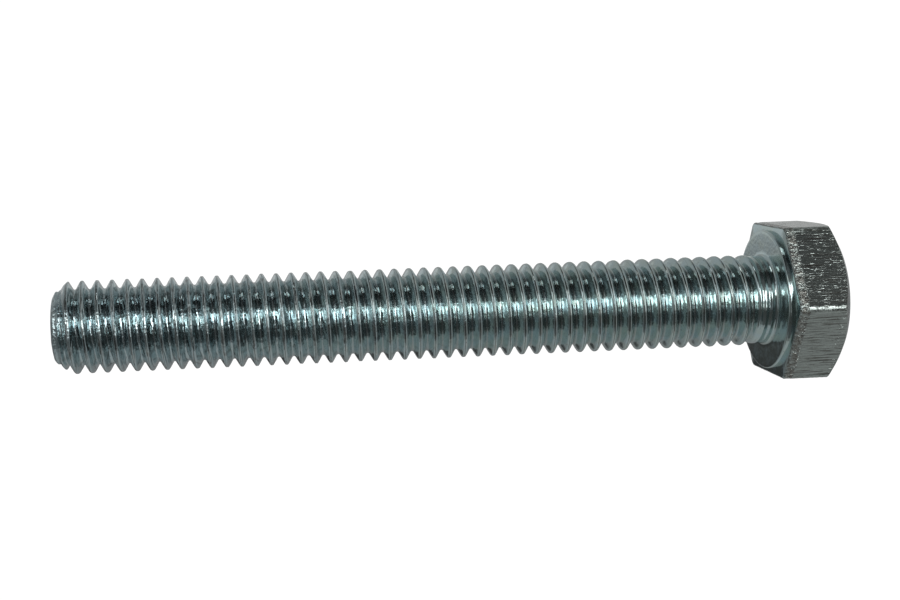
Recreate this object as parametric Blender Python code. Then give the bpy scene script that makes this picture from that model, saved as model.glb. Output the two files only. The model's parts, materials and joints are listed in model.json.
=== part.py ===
"""A fully threaded hexagon head bolt, M8 x 1.25 x 60 mm, with a right-hand thread.

The real bolt is one piece of steel: its head is forged on the end of a wire and its thread is rolled
into the same wire, so the whole bolt is one solid here too. It lies along X with its head at +X and one
flat of its head facing down. The origin is the centre of the head's outer face.
"""

import math

import bmesh
import bpy

MM = 0.001

# The shank is a grid that winds with the thread: each segment round it rises one step along it.
PITCH = 1.25 * MM
SEGMENTS = 24
STEP = PITCH / SEGMENTS

# Thread profile. The crest and the root have narrow flats, with a straight flank on each side.
CREST_RADIUS = 3.915 * MM
ROOT_RADIUS = CREST_RADIUS - 0.6134 * PITCH
CREST_STEPS = 3
FLANK_STEPS = 8
ROOT_STEPS = SEGMENTS - CREST_STEPS - 2 * FLANK_STEPS
FIRST_CREST_STEPS = 16

# Shank, from the chamfered point to the fillet under the head.
SHANK_LENGTH = 60.35 * MM
POINT_RADIUS = 2.81 * MM
POINT_CHAMFER_LENGTH = 1.3 * MM
RUN_OUT_LENGTH = 1.3 * MM
NECK_LENGTH = 1.0 * MM
NECK_RADIUS = 3.55 * MM
FILLET_RADIUS = 0.5 * MM
FILLET_SEGMENTS = 3

# Head, with a raised washer face under it and a chamfer round its outer end.
HEAD_HEIGHT = 5.2 * MM
ACROSS_FLATS = 12.75 * MM
ACROSS_CORNERS = 14.5 * MM
WASHER_FACE_RADIUS = 5.925 * MM
WASHER_FACE_HEIGHT = 0.45 * MM
CHAMFER_CIRCLE_RADIUS = 5.75 * MM
CHAMFER_ANGLE = math.radians(32)
FLAT_SEGMENTS = 6

BEARING_X = -HEAD_HEIGHT
POINT_X = BEARING_X - SHANK_LENGTH
THREAD_STEPS = int((SHANK_LENGTH - NECK_LENGTH) / STEP)

SMOOTH_UP_TO = math.radians(25)
ZINC_PLATE = {"Base Color": (0.50, 0.53, 0.53, 1.0), "Metallic": 1.0, "Roughness": 0.32}


def clear_scene():
    for item in list(bpy.data.objects):
        bpy.data.objects.remove(item)


def on_axis_circle(x, radius, angle):
    """The point at this radius and angle round the bolt's axis. Angle zero is +Y and a right angle is +Z."""
    return (x, radius * math.cos(angle), radius * math.sin(angle))


def thread_radius(steps, height):
    """Radius of the thread this many steps from the point, at height 1 on a crest and 0 in a root.

    The thread fades into the neck at its inner end, and the point's chamfer cuts it at its outer end.
    """
    distance = steps * STEP
    to_neck = THREAD_STEPS * STEP - distance
    fade = min(1.0, to_neck / RUN_OUT_LENGTH)
    rolled = ROOT_RADIUS + height * (CREST_RADIUS - ROOT_RADIUS)
    chamfer_slope = (CREST_RADIUS - POINT_RADIUS) / POINT_CHAMFER_LENGTH
    return min(NECK_RADIUS + fade * (rolled - NECK_RADIUS), POINT_RADIUS + chamfer_slope * distance)


def thread_lines():
    """The lines that wind along the thread, as (steps from the point at angle zero, height)."""
    profile = (
        (0, 1),
        (CREST_STEPS, 1),
        (CREST_STEPS + FLANK_STEPS, 0),
        (CREST_STEPS + FLANK_STEPS + ROOT_STEPS, 0),
    )
    lines = []
    start = FIRST_CREST_STEPS - 2 * SEGMENTS
    while start < THREAD_STEPS + SEGMENTS:
        lines += [(start + along, height) for along, height in profile]
        start += SEGMENTS
    return lines


def add_thread(mesh):
    """Adds the threaded surface and returns its end rings, at the point and at the neck.

    Where a line would run past an end of the thread it follows that end's ring instead.
    """
    corners = {}

    def corner(line, column):
        start, height = line
        steps = min(max(start + column, 0), THREAD_STEPS)
        key = (column % SEGMENTS, steps)
        if key not in corners:
            angle = math.tau * column / SEGMENTS
            place = on_axis_circle(POINT_X + steps * STEP, thread_radius(steps, height), angle)
            corners[key] = mesh.verts.new(place)
        return corners[key]

    lines = thread_lines()
    for lower, upper in zip(lines, lines[1:]):
        for column in range(SEGMENTS):
            around = (
                corner(lower, column),
                corner(lower, column + 1),
                corner(upper, column + 1),
                corner(upper, column),
            )
            distinct = list(dict.fromkeys(around))
            if len(distinct) > 2:
                mesh.faces.new(distinct)
    point_ring = [corners[column, 0] for column in range(SEGMENTS)]
    neck_ring = [corners[column, THREAD_STEPS] for column in range(SEGMENTS)]
    return point_ring, neck_ring


def round_ring(mesh, x, radius):
    angles = [math.tau * column / SEGMENTS for column in range(SEGMENTS)]
    return [mesh.verts.new(on_axis_circle(x, radius, angle)) for angle in angles]


def bridge(mesh, first, second):
    """Joins two rings of equally many corners with a band of faces and returns the second ring."""
    count = len(first)
    for i in range(count):
        j = (i + 1) % count
        mesh.faces.new((first[i], first[j], second[j], second[i]))
    return second


def add_fillet_and_washer_face(mesh, ring):
    """Carries on from the neck's ring to the outer edge of the washer face's foot, and returns that ring."""
    for i in range(FILLET_SEGMENTS + 1):
        turn = math.pi / 2 * i / FILLET_SEGMENTS
        x = BEARING_X - FILLET_RADIUS * (1 - math.sin(turn))
        radius = NECK_RADIUS + FILLET_RADIUS * (1 - math.cos(turn))
        ring = bridge(mesh, ring, round_ring(mesh, x, radius))
    ring = bridge(mesh, ring, round_ring(mesh, BEARING_X, WASHER_FACE_RADIUS))
    return bridge(mesh, ring, round_ring(mesh, BEARING_X + WASHER_FACE_HEIGHT, WASHER_FACE_RADIUS))


def hexagon():
    """The head's outline as (angle, radius) pairs, with each corner cut back to the width across corners."""
    half_width = ACROSS_FLATS / 2
    half_flat = math.acos(half_width / (ACROSS_CORNERS / 2))
    outline = []
    for flat in range(6):
        middle = math.radians(60 * flat + 30)
        for i in range(FLAT_SEGMENTS + 1):
            offset = half_flat * (2 * i / FLAT_SEGMENTS - 1)
            outline.append((middle + offset, half_width / math.cos(offset)))
    return outline


def add_head(mesh, washer_ring):
    """Adds the hexagon from the washer face's foot to the outer face."""
    outline = hexagon()

    def head_ring(place):
        return [mesh.verts.new(on_axis_circle(*place(radius), angle)) for angle, radius in outline]

    def at_underside(radius):
        return BEARING_X + WASHER_FACE_HEIGHT, radius

    def at_chamfer(radius):
        return -(radius - CHAMFER_CIRCLE_RADIUS) * math.tan(CHAMFER_ANGLE), radius

    def at_outer_face(_):
        return 0.0, CHAMFER_CIRCLE_RADIUS

    underside = head_ring(at_underside)
    ring_edges = [mesh.edges.get((a, b)) for a, b in zip(washer_ring, washer_ring[1:] + washer_ring[:1])]
    ring_edges += [mesh.edges.new((a, b)) for a, b in zip(underside, underside[1:] + underside[:1])]
    bmesh.ops.triangle_fill(mesh, edges=ring_edges, use_beauty=True, normal=(-1, 0, 0))
    chamfer = bridge(mesh, underside, head_ring(at_chamfer))
    outer_face = bridge(mesh, chamfer, head_ring(at_outer_face))
    mesh.faces.new(outer_face)


def zinc_plate():
    material = bpy.data.materials.new("zinc_plated_steel")
    material.use_nodes = True
    shader = material.node_tree.nodes["Principled BSDF"]
    for name, value in ZINC_PLATE.items():
        shader.inputs[name].default_value = value
    material.diffuse_color = ZINC_PLATE["Base Color"]
    return material


def make_bolt():
    mesh = bmesh.new()
    point_ring, neck_ring = add_thread(mesh)
    mesh.faces.new(point_ring)
    add_head(mesh, add_fillet_and_washer_face(mesh, neck_ring))
    bmesh.ops.recalc_face_normals(mesh, faces=mesh.faces)
    data = bpy.data.meshes.new("hex_bolt")
    mesh.to_mesh(data)
    mesh.free()
    data.shade_smooth()
    data.set_sharp_from_angle(angle=SMOOTH_UP_TO)
    data.materials.append(zinc_plate())
    bolt = bpy.data.objects.new("hex_bolt", data)
    bpy.context.scene.collection.objects.link(bolt)


clear_scene()
make_bolt()
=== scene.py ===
"""The looks of a zinc plated M8 hex bolt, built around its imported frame.

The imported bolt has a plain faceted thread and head. This script puts one fine mesh in its place, with
rounded rolled crests, a run-out and a fillet under the head, a ragged point and a trimmed head. It gives the
mesh a zinc plated steel material, and lights it on a pale table top the way it lies there: on one flat of
its head and on its thread.
"""

import json
import math

import bmesh
import bpy
import numpy as np
from mathutils import Euler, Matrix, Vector


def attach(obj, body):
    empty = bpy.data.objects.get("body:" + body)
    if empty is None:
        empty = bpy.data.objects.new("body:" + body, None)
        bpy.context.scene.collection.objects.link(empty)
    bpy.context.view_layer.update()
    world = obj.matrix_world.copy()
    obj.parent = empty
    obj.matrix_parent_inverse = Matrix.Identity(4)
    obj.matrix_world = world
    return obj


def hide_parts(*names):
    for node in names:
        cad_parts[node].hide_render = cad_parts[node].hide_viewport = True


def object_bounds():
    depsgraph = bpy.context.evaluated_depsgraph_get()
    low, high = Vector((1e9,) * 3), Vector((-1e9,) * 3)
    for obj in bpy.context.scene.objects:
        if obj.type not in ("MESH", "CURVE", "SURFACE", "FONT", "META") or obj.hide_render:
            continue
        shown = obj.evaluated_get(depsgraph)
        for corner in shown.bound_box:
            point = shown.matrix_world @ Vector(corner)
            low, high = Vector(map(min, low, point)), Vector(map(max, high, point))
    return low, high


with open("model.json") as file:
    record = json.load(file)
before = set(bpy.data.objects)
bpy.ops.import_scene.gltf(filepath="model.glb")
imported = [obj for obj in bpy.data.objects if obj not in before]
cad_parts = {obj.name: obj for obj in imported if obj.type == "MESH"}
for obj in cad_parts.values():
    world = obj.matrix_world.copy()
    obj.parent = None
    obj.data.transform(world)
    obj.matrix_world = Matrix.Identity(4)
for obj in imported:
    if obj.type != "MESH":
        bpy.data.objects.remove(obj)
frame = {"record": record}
cad_low, cad_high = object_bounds()

MM = 0.001
NODE = "hex_bolt"
SEED = 8

# The bolt's own stations, from the frame: outer face of the head, bearing face and point.
HEAD_TOP_X = cad_high.x
POINT_X = cad_low.x
BEARING_X = frame["record"]["mounts"][1]["pos_m"][0]
SHANK_LENGTH = BEARING_X - POINT_X
ACROSS_FLATS = cad_high.z - cad_low.z
CORNER_RADIUS = cad_high.y

# Thread, as the standard draws it but with the rounded crests and roots that rolling gives. The first crest
# is this far from the point where it passes +Y.
PITCH = 1.25 * MM
CREST_RADIUS = 3.915 * MM
CREST_LOSS_AT_HEAD = 0.04 * MM
CREST_ROUNDING = 0.18 * MM
ROOT_ROUNDING = 0.16 * MM
FLANK_ANGLE = math.radians(30)
FIRST_CREST = 0.888 * MM

# The thread's mesh: columns round the bolt, and rows that wind along it. The rows between a crest and the
# root beside it are placed in shares of the pitch, and a few pitches more than the shank holds are laid out.
COLUMNS = 84
CREST_TO_ROOT = (0.032, 0.07, 0.11, 0.16, 0.24, 0.32, 0.385, 0.425, 0.462)
ROWS = 2 * len(CREST_TO_ROOT) + 2
SPARE_PITCHES = 2

# Rolling leaves a fine seam along the crest, where the metal of both flanks meets.
SEAM_HALF_WIDTH = 0.04 * MM
SEAM_DEPTH = 0.035 * MM

# Wear of the crests, which fades out beside them, and their nicks, whose lengths are in turns of the thread.
CREST_WEAR = 0.014 * MM
CREST_SIDE = (0.05 * MM, 0.3 * MM)
NICKS = 120
NICK_LENGTH = (0.007, 0.02)
NICK_DEPTH = (0.01 * MM, 0.06 * MM)
ROW_RIPPLE = 0.006 * MM
FIRST_RIPPLE_SEED = 20

# Point of the bolt: a chamfer, with a rim that the rolling pushed outwards and a groove behind it.
POINT_RADIUS = 2.78 * MM
POINT_CHAMFER_LENGTH = 1.3 * MM
POINT_CHAMFER_SOFTNESS = 0.03 * MM
RIM_PLACE = 0.17 * MM
RIM_WIDTH = 0.12 * MM
RIM_HEIGHT = 0.10 * MM
RIM_UNEVENNESS = 0.5
RIM_GROOVE_PLACE = 0.48 * MM
RIM_GROOVE_WIDTH = 0.14 * MM
RIM_GROOVE_DEPTH = 0.13 * MM

# The rim is ragged, as a wave round the bolt and one dent. The dent's place and width are in turns.
RIM_RAGGEDNESS = 0.16 * MM
RIM_RAGGED_LENGTH = 0.6 * MM
RIM_WAVE_SHARE = 0.25
RIM_DENT_SHARE = 0.7
RIM_DENT_PLACE = 0.34
RIM_DENT_WIDTH = 0.05

# End face of the point: a rounded edge and a shallow, uneven dish.
POINT_EDGE = 0.16 * MM
POINT_DISH = 0.08 * MM
POINT_FACE_WAVE = 0.02 * MM

# Where the surface turns from the rolled thread into the plain neck, and into the battered rim of the point.
THREAD_TO_NECK = (2.2 * MM, 1.4 * MM)
THREAD_FROM_POINT = (0.5 * MM, 0.9 * MM)
RIM_FROM_POINT = (0.5 * MM, 1.0 * MM)
RIM_EDGE_WEAR = 0.8
POINT_FACE_WEAR = 0.5

# Run-out of the thread, from and to these distances under the head, the neck and its fillet.
ROOT_RISE = (2.3 * MM, 1.1 * MM)
CREST_FALL = (1.9 * MM, 1.2 * MM)
NECK_RADIUS = 3.74 * MM
TOOL_RING_SPACING = 0.56 * MM
TOOL_RING_PHASE = 0.5 * MM
TOOL_RING_HEIGHT = 0.017 * MM
FILLET_RADIUS = 0.3 * MM

# Head. The torn band by its underside fades out sooner in its shape than in its looks, and the chips along a
# corner change by this many millimetres of their pattern for each turn round the head.
SIDES = 6
SIDE_TURN = 2 * math.pi / SIDES
WASHER_FACE_RADIUS = 5.925 * MM
WASHER_FACE_HEIGHT = 0.45 * MM
WASHER_FACE_EDGE = 0.16 * MM
CHAMFER_CIRCLE_RADIUS = 5.75 * MM
CHAMFER_ANGLE = math.radians(32)
HEAD_EDGE = 0.18 * MM
CORNER_SOFTNESS = 0.025 * MM
CORNER_WIDTH = math.radians(1.8)
CHIP_DEPTH = 0.05 * MM
CHIP_CHANGE = 40
TRIM_BAND = 0.75 * MM
TORN_SHAPE_FADE = (0.4 * TRIM_BAND, TRIM_BAND)
TORN_LOOKS_FADE = (0.4 * TRIM_BAND, 1.5 * TRIM_BAND)
TORN_DEPTH = 0.012 * MM
SIDE_BANDS = 31

SMOOTH_UP_TO = math.radians(40)

# Camera, as it stands from the middle of the bolt. The lens and the sensor are in mm, the reach in metres.
CAMERA_FROM_CENTRE = Vector((-16.653, -118.112, 16.244)) * MM
CAMERA_TURN = Euler((1.44652, 0.03356, -0.05660))
CAMERA_LENS = 56.506
CAMERA_SENSOR = 36
CAMERA_SHIFT = 0.1442
CAMERA_REACH = (0.01, 20)

TABLE_RADIUS = 0.5
BACKDROP_RADIUS = 3.0
STAGE_BRIGHTNESS = 1.05


def smooth_step(value, start, end):
    share = np.clip((value - start) / (end - start), 0, 1)
    return share * share * (3 - 2 * share)


def soft_min(a, b, softness):
    """The smaller of two lengths, rounded where they cross."""
    gap = a - b
    return 0.5 * (a + b - np.sqrt(gap * gap + softness * softness))


def hump(value, place, width):
    return np.exp(-(((value - place) / width) ** 2))


def wander(place, seed, cycles, whole_turns=False):
    """A smooth value that wanders between -1 and 1: waves with about these cycles per unit of place.

    With whole_turns the place is an angle in turns and the value comes back to itself after one turn.
    """
    draw = np.random.default_rng(SEED * 1000 + seed)
    total = np.zeros(np.shape(place))
    for cycle in cycles:
        frequency = cycle if whole_turns else cycle * draw.uniform(0.8, 1.25)
        total = total + np.sin(2 * math.pi * (place * frequency + draw.uniform()))
    return total / len(cycles)


# ---------------------------------------------------------------- thread


def thread_profile(offset):
    """Radius of the thread this far along from a crest, from minus to plus half a pitch."""
    away = np.abs(offset)
    crest_reach = CREST_ROUNDING * math.cos(FLANK_ANGLE)
    root_reach = ROOT_ROUNDING * math.cos(FLANK_ANGLE)
    crest = CREST_RADIUS - CREST_ROUNDING + np.sqrt(np.maximum(CREST_ROUNDING**2 - away**2, 0))
    flank_start = CREST_RADIUS - CREST_ROUNDING * (1 - math.sin(FLANK_ANGLE))
    flank = flank_start - (away - crest_reach) / math.tan(FLANK_ANGLE)
    to_root = PITCH / 2 - away
    flank_end = flank_start - (PITCH / 2 - root_reach - crest_reach) / math.tan(FLANK_ANGLE)
    root_low = flank_end - ROOT_ROUNDING * (1 - math.sin(FLANK_ANGLE))
    root = root_low + ROOT_ROUNDING - np.sqrt(np.maximum(ROOT_ROUNDING**2 - to_root**2, 0))
    return np.where(away < crest_reach, crest, np.where(to_root < root_reach, root, flank))


ROOT_RADIUS = float(thread_profile(np.array(PITCH / 2)))


def row_offsets():
    """Places of one pitch's rows, from the root before the crest to just short of the root after it."""
    half = np.array(CREST_TO_ROOT)
    return np.concatenate(([-0.5], -half[::-1], [0.0], half)) * PITCH


def crest_wear(turns):
    """How much lower than full the crest is along the thread: a slow wander and many small nicks."""
    draw = np.random.default_rng(SEED)
    wear = CREST_WEAR * (1 + wander(turns, 1, (0.4, 2.1, 5.3, 11)))
    for _ in range(NICKS):
        place = draw.uniform(0, SHANK_LENGTH / PITCH)
        length = draw.uniform(*NICK_LENGTH)
        depth = draw.uniform(*NICK_DEPTH)
        wear = wear + depth * hump(turns, place, length)
    return wear


def rolled_radius(distance, offset, turns, row):
    """Radius of the full thread with its seam, its wear and the faint ripple of each row."""
    away = np.abs(offset)
    crest_share = 1 - smooth_step(away, *CREST_SIDE)
    rolled = thread_profile(offset)
    rolled = rolled - SEAM_DEPTH * (1 - smooth_step(away, 0, SEAM_HALF_WIDTH))
    rolled = rolled - crest_wear(turns) * crest_share
    rolled = rolled - CREST_LOSS_AT_HEAD * distance / SHANK_LENGTH * crest_share
    for i in range(ROWS):
        ripple = ROW_RIPPLE * wander(turns, FIRST_RIPPLE_SEED + i, (0.7, 2.3, 6.1))
        rolled = rolled + np.where(row == i, ripple, 0)
    return rolled


def shank_radius(distance, offset, turns, row):
    """Radius of the threaded shank at this distance from the point.

    The offset is the distance from the nearest crest, the turns count along the thread from the first crest
    that is laid out, and the row is which of the profile's rows this is. Under the head the thread runs out:
    its crests fall and its roots rise to the neck.
    """
    to_head = SHANK_LENGTH - distance
    neck = neck_radius(to_head)
    height = (rolled_radius(distance, offset, turns, row) - ROOT_RADIUS) / (CREST_RADIUS - ROOT_RADIUS)
    crest = CREST_RADIUS + (neck - CREST_RADIUS) * smooth_step(to_head, *CREST_FALL)
    root = ROOT_RADIUS + (neck - ROOT_RADIUS) * smooth_step(to_head, *ROOT_RISE)
    radius = root + height * (crest - root)
    return soft_min(radius, point_chamfer(distance, turns), POINT_CHAMFER_SOFTNESS)


def neck_radius(to_head):
    """Radius of the unthreaded neck, which has a few turned rings."""
    rings = np.cos(2 * math.pi * (to_head - TOOL_RING_PHASE) / TOOL_RING_SPACING)
    return NECK_RADIUS + TOOL_RING_HEIGHT * rings


def point_chamfer(distance, turns):
    """Radius of the chamfered point, with the rim and the groove behind it."""
    slope = (CREST_RADIUS - POINT_RADIUS) / POINT_CHAMFER_LENGTH
    chamfer = POINT_RADIUS + slope * np.maximum(distance, 0)
    uneven = 1 + RIM_UNEVENNESS * wander(turns, 2, (1, 3, 7), whole_turns=True)
    rim = RIM_HEIGHT * uneven * hump(distance, RIM_PLACE, RIM_WIDTH)
    groove = RIM_GROOVE_DEPTH * hump(distance, RIM_GROOVE_PLACE, RIM_GROOVE_WIDTH)
    return chamfer + rim - groove


def set_back(turns):
    """How far the point's rim is set back round the bolt: it is wavy, with one dent."""
    wave = RIM_WAVE_SHARE * (1 + wander(turns, 3, (2, 5, 9), whole_turns=True))
    dent = RIM_DENT_SHARE * hump(turns, RIM_DENT_PLACE, RIM_DENT_WIDTH)
    return RIM_RAGGEDNESS * (wave + dent)


def shank_points(wound, thread_length):
    """Points of the thread's grid. Those that would run past an end lie on that end's ring."""
    column_turns = np.arange(COLUMNS) / COLUMNS
    line = np.arange(len(wound))[:, None]
    offset = np.tile(row_offsets(), len(wound) // ROWS)[:, None]
    distance = np.clip(wound, 0, thread_length)
    radius = shank_radius(distance, offset, line // ROWS + column_turns, line % ROWS)
    radius = np.where(wound <= 0, point_chamfer(0, column_turns), radius)
    radius = np.where(wound >= thread_length, neck_radius(FILLET_RADIUS), radius)
    ragged = set_back(column_turns) * (1 - smooth_step(distance, 0, RIM_RAGGED_LENGTH))
    angle = 2 * math.pi * column_turns
    return np.stack((POINT_X + distance + ragged, radius * np.cos(angle), radius * np.sin(angle)), axis=-1)


def shank_faces(wound, thread_length):
    """Faces of the thread's grid and its rings at the point and at the neck, as point numbers.

    A line's last column is joined to the first column of the line one pitch further on.
    """
    lines = len(wound)
    number = np.arange(wound.size).reshape(wound.shape)
    number = np.where(wound <= 0, number[0], number)
    number = np.where(wound >= thread_length, number[-1], number)
    next_turn = np.minimum(np.arange(lines) + ROWS, lines - 1)
    beside = np.concatenate((number[:, 1:], number[next_turn, :1]), axis=1)
    faces = np.stack((number[:-1], beside[:-1], beside[1:], number[1:]), axis=-1).reshape(-1, 4)
    return faces, list(number[0]), list(number[-1])


def shank_grain(starts, crest_places):
    """Grain at each face's corners: offset from the crest and place along the thread, in millimetres."""
    pitch = np.arange(len(starts) - 1) // ROWS
    one_turn = 2 * math.pi * CREST_RADIUS
    here = (pitch[:, None] + np.arange(COLUMNS) / COLUMNS) * one_turn
    there = here + one_turn / COLUMNS
    before = np.broadcast_to((starts[:-1] - crest_places[pitch])[:, None], here.shape)
    after = np.broadcast_to((starts[1:] - crest_places[pitch])[:, None], here.shape)
    across = np.stack((before, before, after, after), axis=-1)
    along = np.stack((here, there, there, here), axis=-1)
    return np.stack((across, along, np.zeros_like(along)), axis=-1).reshape(-1, 4, 3) / MM


# ---------------------------------------------------------------- the whole bolt


class Solid:
    """Collects points and faces, and rings of points that are joined into bands.

    Each point has its zones: how much it belongs to each of the surfaces that the material tells apart.
    """

    ZONES = ("thread", "side", "trim", "corner")

    def __init__(self):
        self.points = []
        self.faces = []
        self.grain = []
        self.zones = {zone: [] for zone in self.ZONES}

    def add_points(self, points, **zones):
        first = len(self.points)
        self.points.extend(map(tuple, points))
        for zone in self.ZONES:
            self.zones[zone].extend(np.broadcast_to(zones.get(zone, 0.0), len(points)).tolist())
        return list(range(first, len(self.points)))

    def add_face(self, corners):
        self.faces.append(corners)
        self.grain.extend([(0.0, 0.0, 0.0)] * len(corners))

    def add_quads(self, quads, grain):
        """Adds the faces of a grid, without the corners that have fallen together."""
        for quad, corner_grain in zip(quads.tolist(), grain.tolist()):
            distinct = [i for i in range(4) if quad[i] not in quad[:i]]
            if len(distinct) > 2:
                self.faces.append([quad[i] for i in distinct])
                self.grain.extend(corner_grain[i] for i in distinct)

    def ring(self, x, radius, angles, **zones):
        x, radius = np.broadcast_to(x, angles.shape), np.broadcast_to(radius, angles.shape)
        points = np.stack((x, radius * np.cos(angles), radius * np.sin(angles)), axis=-1)
        return self.add_points(points, **zones)

    def band(self, first, second):
        """Joins two rings with equally many points and returns the second."""
        for i in range(len(first)):
            j = (i + 1) % len(first)
            self.add_face([first[i], first[j], second[j], second[i]])
        return second

    def cap(self, ring, x):
        """Closes a ring with a fan to one point on the axis."""
        centre = self.add_points([(x, 0.0, 0.0)])[0]
        for i in range(len(ring)):
            self.add_face([ring[i], ring[(i + 1) % len(ring)], centre])

    def stitch(self, inner, outer, inner_angles, outer_angles):
        """Joins two rings with different numbers of points by walking round both."""
        inner_angles = [*inner_angles, inner_angles[0] + 2 * math.pi]
        outer_angles = [*outer_angles, outer_angles[0] + 2 * math.pi]
        i, j = 0, 0
        while i < len(inner) or j < len(outer):
            here_inner, here_outer = inner[i % len(inner)], outer[j % len(outer)]
            outer_is_done = j >= len(outer)
            if outer_is_done or (i < len(inner) and inner_angles[i + 1] <= outer_angles[j + 1]):
                i += 1
                self.add_face([here_inner, inner[i % len(inner)], here_outer])
            else:
                j += 1
                self.add_face([here_inner, outer[j % len(outer)], here_outer])


def round_angles():
    return 2 * math.pi * np.arange(COLUMNS) / COLUMNS


def add_thread(solid):
    """Adds the threaded shank, whose rows wind round it. Returns its rings at the point and at the neck."""
    thread_length = SHANK_LENGTH - FILLET_RADIUS
    pitches = int(thread_length / PITCH) + 2 * SPARE_PITCHES
    crest_places = FIRST_CREST + (np.arange(pitches) - SPARE_PITCHES) * PITCH
    starts = (crest_places[:, None] + row_offsets()).ravel()
    wound = starts[:, None] + PITCH * np.arange(COLUMNS) / COLUMNS
    points = shank_points(wound, thread_length).reshape(-1, 3)
    faces, point_ring, neck_ring = shank_faces(wound, thread_length)

    to_head = BEARING_X - points[:, 0]
    from_point = points[:, 0] - POINT_X
    threaded = (1 - smooth_step(to_head, *THREAD_TO_NECK)) * smooth_step(from_point, *THREAD_FROM_POINT)
    rim = 1 - smooth_step(from_point, *RIM_FROM_POINT)
    solid.add_points(points, thread=threaded, corner=rim)
    solid.add_quads(faces, shank_grain(starts, crest_places))
    return point_ring, neck_ring


def add_point_face(solid, ring):
    """The rounded edge and the dished end face of the bolt's point."""
    angles = round_angles()
    turns = angles / (2 * math.pi)
    radius = point_chamfer(0, turns)
    for turn in np.radians((30, 60, 90)):
        inset = POINT_EDGE * (1 - math.cos(turn))
        x = POINT_X + set_back(turns) * math.cos(turn)
        ring = solid.band(ring, solid.ring(x, radius - inset, angles, corner=RIM_EDGE_WEAR))
    uneven = POINT_FACE_WAVE * (1 + wander(turns, 4, (2, 3, 5), whole_turns=True))
    for share in (0.9, 0.75, 0.5, 0.25):
        x = POINT_X + POINT_DISH * (1 - share**2) + uneven
        inner = solid.ring(x, share * (radius - POINT_EDGE), angles, corner=POINT_FACE_WEAR * share)
        ring = solid.band(ring, inner)
    solid.cap(ring, POINT_X + POINT_DISH)


def add_fillet_and_washer_face(solid, ring):
    """From the neck's ring to the foot of the washer face. Returns the last ring."""
    angles = round_angles()
    start = neck_radius(FILLET_RADIUS)
    for turn in np.radians((15, 30, 45, 60, 75, 90)):
        x = BEARING_X - FILLET_RADIUS * (1 - math.sin(turn))
        ring = solid.band(ring, solid.ring(x, start + FILLET_RADIUS * (1 - math.cos(turn)), angles))
    foot = start + FILLET_RADIUS
    edge = WASHER_FACE_RADIUS - WASHER_FACE_EDGE
    for share in (0.1, 0.3, 0.5, 0.7, 0.9, 1.0):
        ring = solid.band(ring, solid.ring(BEARING_X, foot + share * (edge - foot), angles))
    for turn in np.radians((22, 45, 68, 90)):
        x = BEARING_X + WASHER_FACE_EDGE * (1 - math.cos(turn))
        ring = solid.band(ring, solid.ring(x, edge + WASHER_FACE_EDGE * math.sin(turn), angles))
    for share in (0.85, 1.0):
        x = BEARING_X + WASHER_FACE_HEIGHT * share
        ring = solid.band(ring, solid.ring(x, WASHER_FACE_RADIUS, angles))
    return ring


def head_angles():
    """Angles round the hexagon, close together at its corners."""
    corner = np.radians((-3.0, -2.2, -1.7, -1.4, -0.7, 0.0, 0.7, 1.4, 1.7, 2.2, 3.0))
    flat = np.radians(np.arange(4.5, 56, 1.5))
    one_side = np.concatenate((corner, flat))
    return np.concatenate([one_side + SIDE_TURN * side for side in range(SIDES)])


def hexagon_radius(angles):
    """The head's outline: six flats, with the corners cut by a circle and their edges softened."""
    from_flat = angles % SIDE_TURN - SIDE_TURN / 2
    flat = ACROSS_FLATS / 2 / np.cos(from_flat)
    return soft_min(flat, CORNER_RADIUS, CORNER_SOFTNESS)


def corner_share(angles):
    """One on the head's corners, falling to nought beside them."""
    from_corner = (angles + SIDE_TURN / 2) % SIDE_TURN - SIDE_TURN / 2
    return hump(from_corner, 0, CORNER_WIDTH)


def side_relief(x, angles):
    """How far the trimmed side faces lie under their ideal planes: chipped corners and a torn band."""
    turns = angles / (2 * math.pi)
    along = (x - BEARING_X) / MM
    chipped = np.maximum(0, wander(along + CHIP_CHANGE * turns, 5, (0.9, 2.3, 3.7)))
    chips = CHIP_DEPTH * corner_share(angles) * chipped
    trim = 1 - smooth_step(x - BEARING_X - WASHER_FACE_HEIGHT, *TORN_SHAPE_FADE)
    across = wander(turns, 6, (19, 41, 67, 93), whole_turns=True)
    torn = TORN_DEPTH * trim * (2 + across + wander(along, 7, (1.7,)))
    return chips + torn


def add_head(solid, washer_ring):
    """The head from the washer face's foot to its outer face, which is closed at the middle."""
    angles = head_angles()
    outline = hexagon_radius(angles)
    corner = corner_share(angles)
    underside = BEARING_X + WASHER_FACE_HEIGHT
    ring = solid.ring(underside, outline - HEAD_EDGE, angles)
    solid.stitch(washer_ring, ring, round_angles(), angles)
    for turn in np.radians((25, 50, 70)):
        x = underside + HEAD_EDGE * (1 - math.cos(turn))
        radius = outline - HEAD_EDGE * (1 - math.sin(turn)) - side_relief(x, angles)
        ring = solid.band(ring, solid.ring(x, radius, angles, side=0.5, trim=0.7, corner=corner))
    chamfer_start = HEAD_TOP_X - (outline - CHAMFER_CIRCLE_RADIUS) * math.tan(CHAMFER_ANGLE)
    side_start = underside + HEAD_EDGE
    for share in np.linspace(0, 1, SIDE_BANDS):
        x = side_start + share * (chamfer_start - side_start)
        trim = 1 - smooth_step(x - underside, *TORN_LOOKS_FADE)
        radius = outline - side_relief(x, angles)
        ring = solid.band(ring, solid.ring(x, radius, angles, side=1.0, trim=trim, corner=corner))
    for share in (0.05, 0.35, 0.7, 0.95, 1.0):
        x = chamfer_start + share * (HEAD_TOP_X - chamfer_start)
        radius = outline + share * (CHAMFER_CIRCLE_RADIUS - outline)
        ring = solid.band(ring, solid.ring(x, radius, angles, side=1 - share))
    for share in (0.97, 0.7, 0.4):
        ring = solid.band(ring, solid.ring(HEAD_TOP_X, share * CHAMFER_CIRCLE_RADIUS, angles))
    solid.cap(ring, HEAD_TOP_X)


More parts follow.
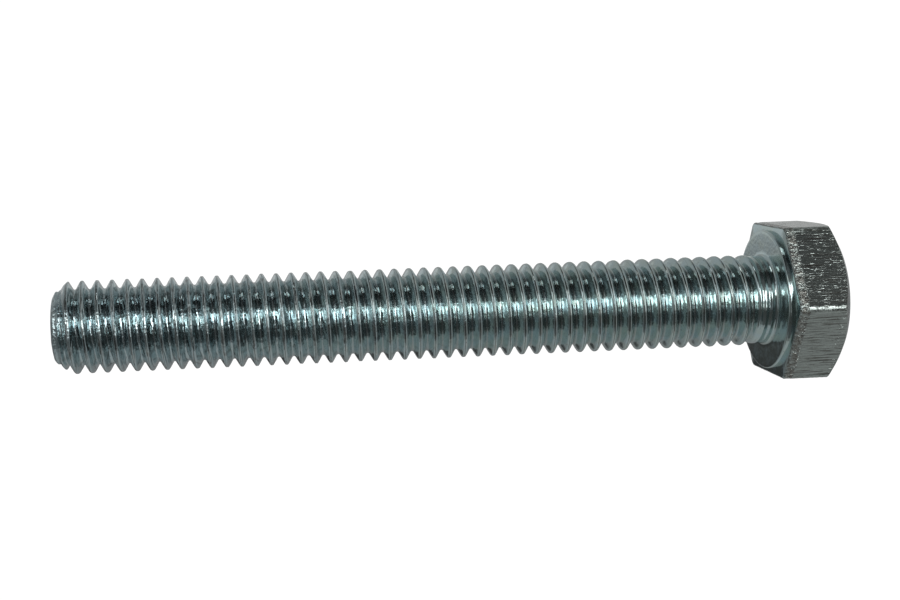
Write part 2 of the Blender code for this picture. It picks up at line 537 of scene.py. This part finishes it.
def bolt_mesh():
    solid = Solid()
    point_ring, neck_ring = add_thread(solid)
    add_point_face(solid, point_ring)
    add_head(solid, add_fillet_and_washer_face(solid, neck_ring))
    mesh = bpy.data.meshes.new("bolt_surface")
    mesh.from_pydata(solid.points, [], solid.faces)
    for zone, values in solid.zones.items():
        mesh.attributes.new(zone, "FLOAT", "POINT").data.foreach_set("value", values)
    grain = mesh.attributes.new("grain", "FLOAT_VECTOR", "CORNER")
    grain.data.foreach_set("vector", np.array(solid.grain).ravel())
    return mesh


def clean_mesh(data):
    """Drops the points that no face uses and turns every face outwards."""
    mesh = bmesh.new()
    mesh.from_mesh(data)
    loose = [vertex for vertex in mesh.verts if not vertex.link_faces]
    bmesh.ops.delete(mesh, geom=loose, context="VERTS")
    bmesh.ops.recalc_face_normals(mesh, faces=mesh.faces)
    mesh.to_mesh(data)
    mesh.free()


# ---------------------------------------------------------------- shader nodes


class Nodes:
    """Short ways to add the shader nodes that the zinc plate and the studio are made of."""

    def __init__(self, tree):
        self.tree = tree

    def add(self, kind, inputs, **settings):
        node = self.tree.nodes.new(kind)
        for name, value in settings.items():
            setattr(node, name, value)
        for key, value in inputs.items():
            if isinstance(value, bpy.types.NodeSocket):
                self.tree.links.new(value, node.inputs[key])
            else:
                node.inputs[key].default_value = value
        return node

    def math(self, operation, *values):
        return self.add("ShaderNodeMath", dict(enumerate(values)), operation=operation).outputs[0]

    def product(self, first, *others):
        for other in others:
            first = self.math("MULTIPLY", first, other)
        return first

    def away_from(self, value, middle):
        return self.math("ABSOLUTE", self.math("SUBTRACT", value, middle))

    def attribute(self, name, output):
        return self.add("ShaderNodeAttribute", {}, attribute_name=name).outputs[output]

    def split(self, vector):
        return self.add("ShaderNodeSeparateXYZ", {0: vector}).outputs

    def stretch(self, vector, scale):
        node = self.add("ShaderNodeVectorMath", {0: vector, 1: scale}, operation="MULTIPLY")
        return node.outputs["Vector"]

    def noise(self, vector, detail, roughness=0.5):
        inputs = {"Vector": vector, "Scale": 1.0, "Detail": detail, "Roughness": roughness}
        return self.add("ShaderNodeTexNoise", inputs).outputs["Fac"]

    def ramp(self, value, low, high, to_low=0.0, to_high=1.0):
        """A smooth step from one value to another while the input goes from low to high."""
        inputs = {"Value": value, "From Min": low, "From Max": high, "To Min": to_low, "To Max": to_high}
        return self.add("ShaderNodeMapRange", inputs, interpolation_type="SMOOTHSTEP").outputs["Result"]

    def mix_colour(self, share, first, second):
        return self.add("ShaderNodeMix", {0: share, 6: first, 7: second}, data_type="RGBA").outputs[2]

    def mix_number(self, share, first, second):
        return self.add("ShaderNodeMix", {0: share, 2: first, 3: second}, data_type="FLOAT").outputs[0]


# ---------------------------------------------------------------- zinc plate

# The plating goes from green to blue in blotches, is colder near the point and greyer on the trimmed sides.
# Lips on the crests are burnished and torn metal is darker. Seams are darker, partly as bare metal and
# partly as painted shade in their groove, and the grooves of the fine lines and the thread's roots are
# darkened as painted shade.
ZINC_BLUE = (0.46, 0.58, 0.60, 1)
ZINC_GREEN = (0.47, 0.57, 0.55, 1)
ZINC_COLD = (0.47, 0.57, 0.60, 1)
ZINC_GREY = (0.385, 0.437, 0.416, 1)
BURNISHED = (0.66, 0.70, 0.68, 1)
# Bare brown metal of the torn band, also used for the seam's line, which is partly painted shade in its
# groove.
BARE_BROWN_AND_SEAM_SHADE = (0.16, 0.14, 0.12, 1)
# A dark colour for grit specks and side streaks, also used for the painted shade in the fine lines' grooves
# and the thread's roots.
SOOT_AND_PAINTED_SHADE = (0.07, 0.058, 0.046, 1)

# Noises of the plating: how fine they are along the bolt and across it, in features to the millimetre, then
# their detail and its roughness.
PATTERNS = {
    "blotches": ((0.9, 0.9, 0.9), 3, 0.6),
    "pebbles": ((3.4, 3.4, 3.4), 1, 0.5),
    "grit": ((8, 8, 8), 1, 0.5),
    "side_lines": ((0.45, 8, 8), 3, 0.6),
    "side_fine": ((0.7, 11, 11), 1, 0.5),
    "burrs": ((2.2, 8, 8), 1, 0.5),
    "torn": ((2.0, 3.4, 3.4), 3, 0.6),
    "ragged": ((1.2, 3, 3), 3, 0.7),
}

# The same for the noises that follow the thread, which are laid across it and along it.
THREAD_PATTERNS = {
    "thread_lines": ((2.4, 0.3, 0), 0, 0.5),
    "line_breaks": ((0, 0.7, 0), 3, 0.7),
}

# Turned rings of the neck and washer face. They drift a little sideways, so that no ring is quite round.
RING_FINENESS = (1.5, 1.5, 1.5)
RING_DRIFT = (0, 0.04, 0.04)

# Stretches along the bolt, in millimetres from the head's outer face, over which the looks change.
NEAR_POINT = (-60, -22)
NEAR_HEAD_CHAMFER = (-1.5, -0.6)


class ZincPlate(Nodes):
    """The zinc plate: its places and patterns, and its colour, roughness and relief. Lengths are in mm."""

    def __init__(self, tree):
        super().__init__(tree)
        place = self.stretch(self.add("ShaderNodeTexCoord", {}).outputs["Object"], (1 / MM,) * 3)
        self.along, y, z = self.split(place)
        self.radial = self.add("ShaderNodeCombineXYZ", {"Y": y, "Z": z}).outputs[0]
        self.near_point = self.ramp(self.along, *NEAR_POINT, 1.0, 0.0)
        grain = self.attribute("grain", "Vector")
        self.from_crest = self.split(grain)["X"]
        self.thread, self.side, trim, self.corner = (self.attribute(zone, "Fac") for zone in Solid.ZONES)
        self.pattern = {**self.noises(place, PATTERNS), **self.noises(grain, THREAD_PATTERNS)}

        # The torn band ends in a ragged line, and only parts of it are torn.
        self.trim = self.ramp(self.math("MULTIPLY_ADD", self.pattern["ragged"], 1.1, trim), 0.9, 1.15)
        self.torn = self.product(self.trim, self.ramp(self.pattern["torn"], 0.42, 0.56, 0.1, 1.0))

        # Fine lines run along the thread. The seam on its crest is a dark line, partly bare metal and partly
        # painted shade in its groove, with a burnished lip beside it, and both are broken. Near the point
        # the seam is fainter.
        self.thread_lines = self.ramp(self.away_from(self.pattern["thread_lines"], 0.5), 0.0, 0.2)
        seam = self.crest_line(place=-0.035, full=0.01, faded=0.032, breaks=(0.3, 0.45))
        self.seam = self.product(seam, self.by_point(1.0, 0.6))
        self.lip = self.crest_line(place=0.035, full=0.01, faded=0.03, breaks=(0.44, 0.6))

    def noises(self, place, patterns):
        return {
            name: self.noise(self.stretch(place, fineness), detail, roughness)
            for name, (fineness, detail, roughness) in patterns.items()
        }

    def by_point(self, elsewhere, at_point):
        """A value that is different near the point, where the plating is rougher."""
        return self.math("MULTIPLY_ADD", self.near_point, at_point - elsewhere, elsewhere)

    def lines_round_axis(self):
        radius = self.add("ShaderNodeVectorMath", {0: self.radial}, operation="LENGTH").outputs["Value"]
        place = self.add("ShaderNodeCombineXYZ", {"X": self.along, "Y": radius}).outputs[0]
        drift = self.stretch(self.radial, RING_DRIFT)
        place = self.add("ShaderNodeVectorMath", {0: place, 1: drift}, operation="ADD").outputs["Vector"]
        return self.noise(self.stretch(place, RING_FINENESS), detail=1)

    def crest_line(self, place, full, faded, breaks):
        """A fine broken line along the crest, this far beside its middle."""
        line = self.ramp(self.away_from(self.from_crest, place), full, faded, 1.0, 0.0)
        return self.product(line, self.thread, self.ramp(self.pattern["line_breaks"], *breaks))

    def colour(self):
        colour = self.mix_colour(self.ramp(self.pattern["blotches"], 0.35, 0.65), ZINC_GREEN, ZINC_BLUE)
        colour = self.mix_colour(self.by_point(0.0, 0.6), colour, ZINC_COLD)
        colour = self.mix_colour(self.side, colour, ZINC_GREY)
        # Painted shade: the grooves of the fine lines along the thread are darkened, more strongly near the
        # point.
        line_groove_painted_shade = self.product(self.thread, self.ramp(self.thread_lines, 0.0, 0.12, 0.45, 0.0))
        colour = self.mix_colour(self.product(line_groove_painted_shade, self.by_point(0.2, 1.0)), colour, SOOT_AND_PAINTED_SHADE)
        # Painted shade: the roots of the thread are darkened, away from the point.
        root_painted_shade = self.product(self.thread, self.ramp(self.away_from(self.from_crest, 0.0), 0.5, 0.6))
        colour = self.mix_colour(self.product(root_painted_shade, self.by_point(0.45, 0.0)), colour, SOOT_AND_PAINTED_SHADE)
        colour = self.mix_colour(self.lip, colour, BURNISHED)
        # The seam's dark line is partly bare metal and partly painted shade in its groove.
        colour = self.mix_colour(self.seam, colour, BARE_BROWN_AND_SEAM_SHADE)
        colour = self.mix_colour(self.product(self.torn, 0.6), colour, BARE_BROWN_AND_SEAM_SHADE)
        streaks = self.ramp(self.pattern["side_lines"], 0.32, 0.50, 0.75, 0.0)
        colour = self.mix_colour(self.product(self.side, streaks), colour, SOOT_AND_PAINTED_SHADE)
        return self.mix_colour(self.ramp(self.pattern["grit"], 0.22, 0.30, 1.0, 0.0), colour, SOOT_AND_PAINTED_SHADE)

    def roughness(self):
        roughness = self.ramp(self.pattern["blotches"], 0.3, 0.7, 0.10, 0.17)
        on_sides = self.ramp(self.pattern["side_lines"], 0.3, 0.7, 0.24, 0.11)
        roughness = self.mix_number(self.side, roughness, on_sides)
        roughness = self.mix_number(self.product(self.corner, 0.6), roughness, 0.45)
        roughness = self.mix_number(self.torn, roughness, 0.22)
        return self.mix_number(self.math("MAXIMUM", self.seam, self.lip), roughness, 0.22)

    def relief(self):
        """The sum of patterns, each with its height and the share of the surface that has it.

        The burrs lie along the edges of the side faces.
        """
        burrs = self.ramp(self.pattern["burrs"], 0.62, 0.74)
        near_chamfer = self.ramp(self.along, *NEAR_HEAD_CHAMFER)
        side_edge = self.math("MAXIMUM", self.math("MAXIMUM", self.trim, self.corner), near_chamfer)
        side_edge = self.product(self.side, self.math("MAXIMUM", side_edge, 0.12))
        smooth_part = self.math("SUBTRACT", 1.0, self.math("MAXIMUM", self.thread, self.side))
        relief = 0.0
        for pattern, height, share in (
            (self.thread_lines, self.by_point(0.004, 0.049), self.thread),
            (self.lines_round_axis(), 0.004, smooth_part),
            (self.pattern["pebbles"], self.by_point(0.012, 0.032), self.thread),
            (self.pattern["pebbles"], 0.008, smooth_part),
            (self.pattern["side_lines"], 0.022, self.side),
            (self.pattern["side_fine"], 0.008, self.side),
            (burrs, 0.045, side_edge),
            (self.pattern["torn"], 0.15, self.trim),
            (self.pattern["pebbles"], 0.12, self.corner),
        ):
            relief = self.math("MULTIPLY_ADD", self.product(pattern, height), share, relief)
        return relief


def zinc_material():
    material = bpy.data.materials.new("zinc_plated_steel")
    material.use_nodes = True
    shader = material.node_tree.nodes["Principled BSDF"]
    shader.inputs["Metallic"].default_value = 1.0
    plate = ZincPlate(material.node_tree)
    bump = plate.add("ShaderNodeBump", {"Height": plate.relief(), "Distance": MM, "Strength": 1.0})
    material.node_tree.links.new(plate.colour(), shader.inputs["Base Color"])
    material.node_tree.links.new(plate.roughness(), shader.inputs["Roughness"])
    material.node_tree.links.new(bump.outputs["Normal"], shader.inputs["Normal"])
    return material


def make_bolt():
    mesh = bolt_mesh()
    clean_mesh(mesh)
    mesh.shade_smooth()
    mesh.set_sharp_from_angle(angle=SMOOTH_UP_TO)
    mesh.materials.append(zinc_material())
    bolt = bpy.data.objects.new("bolt", mesh)
    bpy.context.scene.collection.objects.link(bolt)
    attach(bolt, "root")
    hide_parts(NODE)


# ---------------------------------------------------------------- stage


def make_camera():
    camera = bpy.data.objects.new("camera", bpy.data.cameras.new("camera"))
    bpy.context.scene.collection.objects.link(camera)
    camera.location = (cad_low + cad_high) / 2 + CAMERA_FROM_CENTRE
    camera.rotation_euler = CAMERA_TURN
    camera.data.lens = CAMERA_LENS
    camera.data.sensor_width = CAMERA_SENSOR
    camera.data.shift_x = CAMERA_SHIFT
    camera.data.clip_start, camera.data.clip_end = CAMERA_REACH
    bpy.context.scene.camera = camera


# The studio as the bolt mirrors it. The room's brightness goes by elevation in degrees.
ROOM = (
    (-90, 0.41),
    (-60, 0.41),
    (-38, 0.30),
    (-14, 0.23),
    (-4, 0.32),
    (6, 0.36),
    (20, 0.42),
    (34, 0.42),
    (54, 0.34),
    (66, 0.11),
    (80, 0.09),
    (90, 0.12),
)

# Soft lights and dark walls, as azimuth and elevation of the middle, radius of the full and of the faded
# part, all in degrees, and then what a light adds or the share that a wall leaves. Azimuth 0 is in front of
# the bolt, and 90 is past its head.
LIGHTS = (
    (25, 15, 10, 17, 5.0),
    (-8, 24, 3, 10, 6.0),
    (21, -8, 2, 7, 2.4),
    (60, 12, 10, 24, 0.9),
    (-48, 26, 6, 16, 0.8),
    (-90, 86, 5, 10, 2.2),
    (158, 8, 9, 22, 0.16),
    (199, 4, 6, 12, 0.24),
)
WALLS = (
    (-18, -28, 18, 25, 0.26),
    (14, -40, 19, 27, 0.24),
    (-10, 1, 13, 21, 0.22),
    (-60, -38, 16, 28, 0.25),
    (15, 58, 20, 32, 0.30),
    (34, 47, 7, 14, 0.24),
    (-45, 58, 14, 28, 0.12),
    (200, -18, 9, 14, 0.20),
    (-104, 2, 20, 38, 0.45),
    (110, 2, 20, 38, 0.45),
)


def direction(azimuth, elevation):
    around, up = math.radians(azimuth), math.radians(elevation)
    return (math.cos(up) * math.sin(around), -math.cos(up) * math.cos(around), math.sin(up))


def patch(nodes, towards, azimuth, elevation, full, faded):
    """One inside a round patch of the studio and nought outside it, with a soft edge."""
    inputs = {0: towards, 1: direction(azimuth, elevation)}
    facing = nodes.add("ShaderNodeVectorMath", inputs, operation="DOT_PRODUCT").outputs["Value"]
    return nodes.ramp(facing, math.cos(math.radians(faded)), math.cos(math.radians(full)))


def room_brightness(nodes, towards):
    """The room's brightness in a direction, from a ramp that goes from straight down to straight up."""
    elevation = nodes.math("ARCSINE", nodes.split(towards)["Z"])
    ramp = nodes.add("ShaderNodeValToRGB", {"Fac": nodes.math("MULTIPLY_ADD", elevation, 1 / math.pi, 0.5)})
    stops = ramp.color_ramp.elements
    stops.remove(stops[1])
    for degrees, brightness in ROOM:
        stop = stops.new((degrees + 90) / 180)
        stop.color = (brightness, brightness, brightness, 1)
    stops.remove(stops[0])
    return ramp.outputs["Color"]


def make_studio():
    world = bpy.data.worlds.new("studio")
    bpy.context.scene.world = world
    world.use_nodes = True
    nodes = Nodes(world.node_tree)
    towards = nodes.add("ShaderNodeTexCoord", {}).outputs["Generated"]
    towards = nodes.add("ShaderNodeVectorMath", {0: towards}, operation="NORMALIZE").outputs["Vector"]
    shade = 1.0
    for *place, kept in WALLS:
        wall = patch(nodes, towards, *place)
        shade = nodes.math("MINIMUM", shade, nodes.math("MULTIPLY_ADD", wall, kept - 1, 1.0))
    brightness = nodes.math("MULTIPLY", room_brightness(nodes, towards), shade)
    for *place, added in LIGHTS:
        brightness = nodes.math("MULTIPLY_ADD", patch(nodes, towards, *place), added, brightness)
    background = world.node_tree.nodes["Background"]
    background.inputs["Color"].default_value = (1, 1, 1, 1)
    world.node_tree.links.new(brightness, background.inputs["Strength"])
    bpy.context.scene.view_settings.view_transform = "Standard"


def stage_piece(name, mesh):
    """Makes a white piece of the set from its shape. The camera sees it and the bolt doesn't mirror it."""
    material = bpy.data.materials.new(name)
    material.use_nodes = True
    shader = material.node_tree.nodes["Principled BSDF"]
    shader.inputs["Base Color"].default_value = (0, 0, 0, 1)
    shader.inputs["Specular IOR Level"].default_value = 0
    shader.inputs["Emission Color"].default_value = (1, 1, 1, 1)
    shader.inputs["Emission Strength"].default_value = STAGE_BRIGHTNESS
    data = bpy.data.meshes.new(name)
    mesh.to_mesh(data)
    mesh.free()
    data.materials.append(material)
    piece = bpy.data.objects.new(name, data)
    bpy.context.scene.collection.objects.link(piece)
    piece.visible_glossy = False
    piece.visible_diffuse = False
    piece.visible_shadow = False
    return piece


def make_floor():
    """The pale table top, which one flat of the head and the thread near the point lie on."""
    head_contact = Vector((BEARING_X + WASHER_FACE_HEIGHT, 0, cad_low.z))
    thread_contact = Vector((POINT_X + FIRST_CREST + PITCH, 0, -CREST_RADIUS))
    slope = head_contact - thread_contact
    mesh = bmesh.new()
    bmesh.ops.create_circle(mesh, cap_ends=True, segments=96, radius=TABLE_RADIUS)
    table = stage_piece("table_top", mesh)
    table.location = head_contact
    table.rotation_euler = (0, -math.atan2(slope.z, slope.x), 0)


def make_backdrop():
    mesh = bmesh.new()
    bmesh.ops.create_uvsphere(mesh, u_segments=64, v_segments=32, radius=BACKDROP_RADIUS)
    stage_piece("backdrop", mesh)


make_camera()
make_bolt()
make_studio()
make_floor()
make_backdrop()
